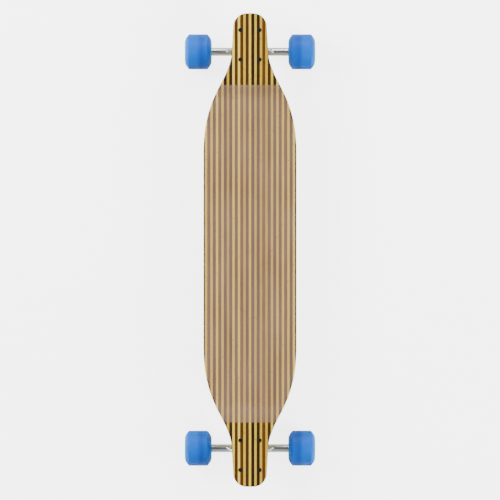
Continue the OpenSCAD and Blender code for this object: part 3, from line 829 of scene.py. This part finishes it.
# Belted and buffed: clear bright reflections, drawn out a little across the fine scratches.
polished, shader = finish("polished cast aluminium", Metallic=1.0, Roughness=0.2)
lines = add(polished, "TexNoise", {"Vector": millimetres(polished, (1.4, 0.03, 1.4)), "Scale": 1.0,
                                   "Detail": 4.0})
dull = add(polished, "TexNoise", {"Vector": millimetres(polished, (0.06, 0.03, 0.06)), "Scale": 1.0,
                                  "Detail": 3.0})
dressed(polished, shader, dull, [(0.3, "#B4B7BB"), (0.7, "#CDD0D3")],
        lines, [(0.3, 0.14), (0.7, 0.3)], relief=0.00004)

for end in ENDS:
    cast(f"{end}_cast_hanger", f"{end}_hanger", pivot_place(end), polished, f"{end}_truck",
         voxel=0.7, passes=8)


# ---- Axles, speed washers, spacers and axle nuts ----
# A plated steel rod runs right through each hanger. On each side it carries a speed washer, a
# bearing, a spacer, a bearing, a speed washer and a nut on its threaded end.

axle_r = 4.0
hanger_half = 92.0
speed_t = 1.0
bearing_w = 7.0
spacer_len = 10.0
race_r = 6.0
axle_nut_h = 8.0
axle_nut_flats = 12.7
bearing_in = hanger_half + speed_t
spacer_at = bearing_in + bearing_w
bearing_out = spacer_at + spacer_len
washer_out = bearing_out + bearing_w
nut_at = washer_out + speed_t
axle_end = nut_at + axle_nut_h + 1.0
axle_tip_in = 0.9
thread_lead = 0.5
small_bevel = 0.2
spacer_bevel = 0.3


def corner_place(end, side):
    """Middle of a truck on its axle, with +Z outwards along the axle."""
    turn = 0 if ENDS[end] == SIDES[side] else math.pi
    return (truck_place(end) @ Matrix.Translation(axle_at) @ Matrix.Rotation(turn, 4, "Z")
            @ Matrix.Rotation(-math.pi / 2, 4, "X"))


# Bright zinc: a clean, cool silver shine that clouds over slightly in patches.
plated, shader = finish("zinc plated steel", Metallic=1.0, Roughness=0.24)
bloom = add(plated, "TexNoise", {"Vector": millimetres(plated, (0.3, 0.3, 0.3)), "Scale": 1.0,
                                 "Detail": 4.0})
dressed(plated, shader, bloom, [(0.3, "#B9BBBE"), (0.7, "#DADCDF")],
        bloom, [(0.3, 0.32), (0.7, 0.18)], relief=0.00005)


def sleeve(low, high, bevel, place):
    """A plated ring or tube on the axle, with its outer corners broken."""
    return lathe([(axle_r, low), (race_r - bevel, low), (race_r, low + bevel), (race_r, high - bevel),
                  (race_r - bevel, high), (axle_r, high)], 32, place)


for end in ENDS:
    body = f"{end}_truck"
    half = [(axle_r, 0), (axle_r, nut_at - 2 * thread_lead)]
    half += thread(axle_r, nut_at - thread_lead, axle_end - thread_stop)
    half += [(axle_r - axle_tip_in, axle_end), (0, axle_end)]
    profile = [(r, -z) for r, z in reversed(half)] + half[1:]
    piece(f"{end}_steel_axle", lathe(profile, 32, corner_place(end, "left"), closed=False), plated,
          body, [f"{end}_axle"])
    for side in SIDES:
        at = f"{end}_{side}"
        place = corner_place(end, side)
        washers = [sleeve(z, z + speed_t, small_bevel, place) for z in (hanger_half, washer_out)]
        piece(f"{at}_steel_washers", joined(washers), plated, body, [f"{at}_speed_washers"])
        tube = sleeve(spacer_at, bearing_out, spacer_bevel, place)
        piece(f"{at}_steel_spacer", tube, plated, body, [f"{at}_spacer"])
        nut = lock_nut(axle_nut_flats, axle_nut_h, axle_r, place @ Matrix.Translation((0, 0, nut_at)))
        piece(f"{at}_axle_lock_nut", nut, plated, body, [f"{at}_axle_nut"])


# ---- Bearings ----
# Two ball bearings are pressed into each wheel: ground steel rings with polished races, seven
# balls in a crown cage, and a pressed dust shield clipped into each side of the outer ring.

bearing_r = 11.0
outer_race_r = 9.0
ball_circle_r = 7.5
race_depth_r = 2.05
bore_fit = 0.01
race_bevel = 0.3
shield_sink = 0.2
shield_t = 0.4
shield_gap = 0.3
shield_step = 0.12
shield_inner_w = 0.6
shield_outer_w = 0.7
shield_fit = 0.02

# Ground and lapped: a dense, slightly dark mirror with hardly any texture.
ground, shader = finish("ground bearing steel", Metallic=1.0, Roughness=0.22)
fine = add(ground, "TexNoise", {"Vector": millimetres(ground, (3, 3, 3)), "Scale": 1.0, "Detail": 3.0})
dressed(ground, shader, fine, [(0.3, "#A9ABAE"), (0.7, "#C9CBCE")],
        fine, [(0.3, 0.26), (0.7, 0.16)], relief=0.00002)

# Stamped sheet steel: greyer and duller than the rings round it.
pressed, shader = finish("pressed steel shield", Metallic=1.0, Roughness=0.4)
brushed = add(pressed, "TexNoise", {"Vector": millimetres(pressed, (2, 0.2, 2)), "Scale": 1.0,
                                    "Detail": 4.0})
dressed(pressed, shader, brushed, [(0.3, "#7E8184"), (0.7, "#A5A8AB")],
        brushed, [(0.3, 0.46), (0.7, 0.34)], relief=0.00003)


def race(radius, edge, middle):
    """Profile of a bearing ring about its middle, with a round groove for the balls."""
    half = bearing_w / 2
    reach = math.acos(min(abs(edge - ball_circle_r) / race_depth_r, 1))
    sign = 1 if edge > ball_circle_r else -1
    groove = [(ball_circle_r + sign * race_depth_r * math.cos(t), middle + race_depth_r * math.sin(t))
              for t in np.linspace(-reach, reach, 9)]
    above = [(radius, middle + half - race_bevel), (radius - sign * race_bevel, middle + half),
             (edge, middle + half)]
    below = [(r, 2 * middle - z) for r, z in reversed(above)]
    return above + groove[::-1] + below


def shield(face, way, place):
    """A dust shield: a thin disc with a raised middle, facing one way along the axle."""
    inner = race_r + shield_gap
    outer = outer_race_r - shield_fit
    proud = face - way * shield_step
    back = face - way * shield_t
    return lathe([(inner, face), (inner + shield_inner_w, proud), (outer_race_r - shield_outer_w, proud),
                  (outer, face), (outer, back), (inner, back)], fine_steps, place)


for end in ENDS:
    for side in SIDES:
        at = f"{end}_{side}"
        place = corner_place(end, side)
        middles = [bearing_in + bearing_w / 2, bearing_out + bearing_w / 2]
        outer = [lathe(race(bearing_r, outer_race_r, middle), fine_steps, place) for middle in middles]
        piece(f"{at}_bearing_outer_rings", joined(outer), ground, f"{at}_wheel",
              [f"{at}_outer_rings"])
        inner = [lathe(race(axle_r + bore_fit, race_r, middle), fine_steps, place) for middle in middles]
        piece(f"{at}_bearing_inner_rings", joined(inner), ground, f"{end}_truck",
              [f"{at}_inner_rings"])
        covers = [shield(middle + way * (bearing_w / 2 - shield_sink), way, place)
                  for middle in middles for way in (-1, 1)]
        piece(f"{at}_dust_shields", joined(covers), pressed, f"{at}_wheel",
              [f"{at}_shields"])
        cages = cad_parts[f"{at}_ball_cages"]
        cages.data.materials.clear()
        cages.data.materials.append(ground)


# ---- Wheels ----
# Clear blue urethane, poured round and then turned on a lathe: a flat tread, rounded edges, and domed sides
# that are thin at the lip. Its colour carries a painted glow at the lips and painted shade round the
# bearings.

wheel_low, wheel_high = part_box("front_left_wheel")
wheel_r = (wheel_high.x - wheel_low.x) / 2 / MM
wheel_in = wheel_low.y / MM
wheel_w = (wheel_high.y - wheel_low.y) / MM
wheel_mid = wheel_in + wheel_w / 2
tread_half = 21.5
tread_edge_r = 2.5
lip_r = 20.0
mouth_r = 16.5
mouth_depth = 2.5
mouth_pull = 0.5
edge_turn = math.radians(50)
dome_drop = 7.0
dome_rise = 4.5
dome_pull = 7.0
lip_pull = 2.0
seat_r = bearing_r + 0.02
seat_rim = 2.0
seat_rise = 0.4
seat_bevel = 0.3
web_r = seat_r - 2.5
wheel_steps = 96
glow_band_wobble_share = 0.06
skin_relief = 0.00004

# the plain blue, with a lighter blue for the painted glow at the lips and a deeper blue for the painted shade
# round the bearings
painted_shade_blue = "#0058C4"
blue_mid = "#006EDE"
painted_glow_blue = "#009CF8"

# Clear cast resin, dyed blue: light goes in and comes out again, and the colour adds a painted glow at the
# edges and painted shade in the middle.
poured, shader = finish("translucent blue urethane", Roughness=0.45, IOR=1.5, Transmission_Weight=0.3,
                        Subsurface_Weight=0.3, Subsurface_Scale=0.01, Specular_IOR_Level=0.06)
shader.inputs["Subsurface Radius"].default_value = (0.25, 0.6, 1.0)
spread = add(poured, "SeparateXYZ", {0: millimetres(poured)}).outputs["Y"]
outward = add(poured, "Math", {0: spread}, operation="ABSOLUTE")
depth = add(poured, "MapRange", {0: outward.outputs[0], 1: wheel_in, 2: wheel_in + wheel_w})
glow_band_wobble = add(poured, "TexNoise", {"Vector": millimetres(poured, (0.03, 0.06, 0.03)), "Scale": 1.0,
                                 "Detail": 2.0})
blurred = add(poured, "Math", {0: glow_band_wobble.outputs["Fac"], 1: glow_band_wobble_share, 2: depth.outputs[0]},
              operation="MULTIPLY_ADD")
# bands across the wheel's width, with a wobble: painted glow at both faces and painted shade a little inboard
# of the middle
blue = ramp(poured, blurred.outputs[0], [(0.02, painted_glow_blue), (0.14, blue_mid), (0.42, painted_shade_blue),
                                         (0.6, blue_mid), (0.9, blue_mid), (1.0, painted_glow_blue)], smooth=True)
link(poured, blue, shader.inputs["Base Color"])
skin = add(poured, "TexNoise", {"Vector": millimetres(poured, (0.6, 2.5, 0.6)), "Scale": 1.0, "Detail": 3.0})
link(poured, ramp(poured, skin.outputs["Fac"], [(0.3, 0.38), (0.7, 0.52)]), shader.inputs["Roughness"])
bump(poured, shader, skin.outputs["Fac"], skin_relief)


def flank(way):
    """The rounded tread edge and the domed side, out to the lip and into the mouth of the recess."""
    half = wheel_w / 2
    centre = (wheel_r - tread_edge_r, tread_half - tread_edge_r)
    edge = [(centre[0] + tread_edge_r * math.cos(t), centre[1] + tread_edge_r * math.sin(t))
            for t in np.linspace(0, edge_turn, 8)]
    dome = bezier([edge[-1], (wheel_r - dome_drop, tread_half + dome_rise), (lip_r + dome_pull, half),
                   (lip_r, half)], 18)
    mouth = bezier([(lip_r, half), (lip_r - lip_pull, half), (mouth_r, half - mouth_pull),
                    (mouth_r, half - mouth_depth)], 8)
    return [(r, wheel_mid + way * z) for r, z in [*edge, *dome, *mouth]]


# the seats that the two bearings are pressed into, with a web between them
seats = [(seat_r + seat_rim, washer_out + seat_rise), (seat_r + seat_bevel, washer_out),
         (seat_r, washer_out - seat_bevel), (seat_r, bearing_out), (web_r, bearing_out),
         (web_r, spacer_at), (seat_r, spacer_at), (seat_r, bearing_in + seat_bevel),
         (seat_r + seat_bevel, bearing_in), (seat_r + seat_rim, bearing_in - seat_rise)]
for end in ENDS:
    for side in SIDES:
        at = f"{end}_{side}"
        bm = lathe(flank(-1)[::-1] + flank(1) + seats, wheel_steps, corner_place(end, side))
        piece(f"{at}_urethane_wheel", bm, poured, f"{at}_wheel", [f"{at}_wheel"], sharp=50)


# ---- Studio ----
# A pale floor under broad, soft lights at the sides, and a long lens straight above the board
# with its nose at the top of the frame. The floor and the sky are brighter to the lens alone.

floor_glow = 3.6
sky_glow = 5.0
floor_size = 20000
aim_z = 0.08
frame_mm = 1072.0

# Matt paper: flat, even and nearly white.
paper, shader = finish("white paper sweep", Roughness=0.9, Emission_Color=colour("#FFFFFF"))
tint = add(paper, "TexNoise", {"Vector": millimetres(paper, (0.001, 0.001, 0.001)), "Scale": 1.0})
link(paper, ramp(paper, tint.outputs["Fac"], [(0.3, "#F4F4F4"), (0.7, "#FAFAFA")]),
     shader.inputs["Base Color"])
seen = add(paper, "LightPath").outputs["Is Camera Ray"]
glow = add(paper, "Math", {0: seen, 1: floor_glow}, operation="MULTIPLY")
link(paper, glow.outputs[0], shader.inputs["Emission Strength"])
bm = bmesh.new()
bmesh.ops.create_grid(bm, x_segments=1, y_segments=1, size=floor_size)
piece("floor", bm, paper)

world = bpy.data.worlds.new("studio")
bpy.context.scene.world = world
world.use_nodes = True
around = add(world, "TexCoord").outputs["Generated"]
upward = add(world, "SeparateXYZ", {0: around}).outputs["Z"]
dome = ramp(world, upward, [(0.0, 0.1), (0.14, 0.2), (0.35, 1.0), (0.7, 0.85), (0.93, 0.22)])
background = world.node_tree.nodes["Background"]
link(world, dome, background.inputs["Color"])
pale = add(world, "Background", {"Color": colour("#FFFFFF"), "Strength": sky_glow})
seen = add(world, "LightPath").outputs["Is Camera Ray"]
both = add(world, "MixShader", {0: seen, 1: background.outputs[0], 2: pale.outputs[0]})
link(world, both.outputs[0], world.node_tree.nodes["World Output"].inputs["Surface"])


def softbox(name, at, size, power):
    """A square area light aimed at the board."""
    light = bpy.data.lights.new(name, "AREA")
    light.size = size
    light.energy = power
    made = bpy.data.objects.new(name, light)
    made.visible_camera = False
    made.location = at
    made.rotation_euler = (Vector((0, 0, aim_z)) - Vector(at)).to_track_quat("-Z", "Y").to_euler()
    bpy.context.scene.collection.objects.link(made)


softbox("key", at=(1.4, 2.6, 2.4), size=1.6, power=190)
softbox("fill", at=(-1.2, -2.8, 2.2), size=1.8, power=140)
softbox("nose", at=(3.2, -0.6, 1.9), size=1.4, power=60)

lens = bpy.data.cameras.new("camera")
lens.lens = 300
lens.sensor_width = 36
distance = frame_mm / 2 * MM / (lens.sensor_width / 2 / lens.lens)
camera = bpy.data.objects.new("camera", lens)
camera.location = (0, 0, (end_z + deck_t) * MM + distance)
camera.rotation_euler = (0, 0, -math.pi / 2)
bpy.context.scene.collection.objects.link(camera)
bpy.context.scene.camera = camera

bpy.context.view_layer.update()
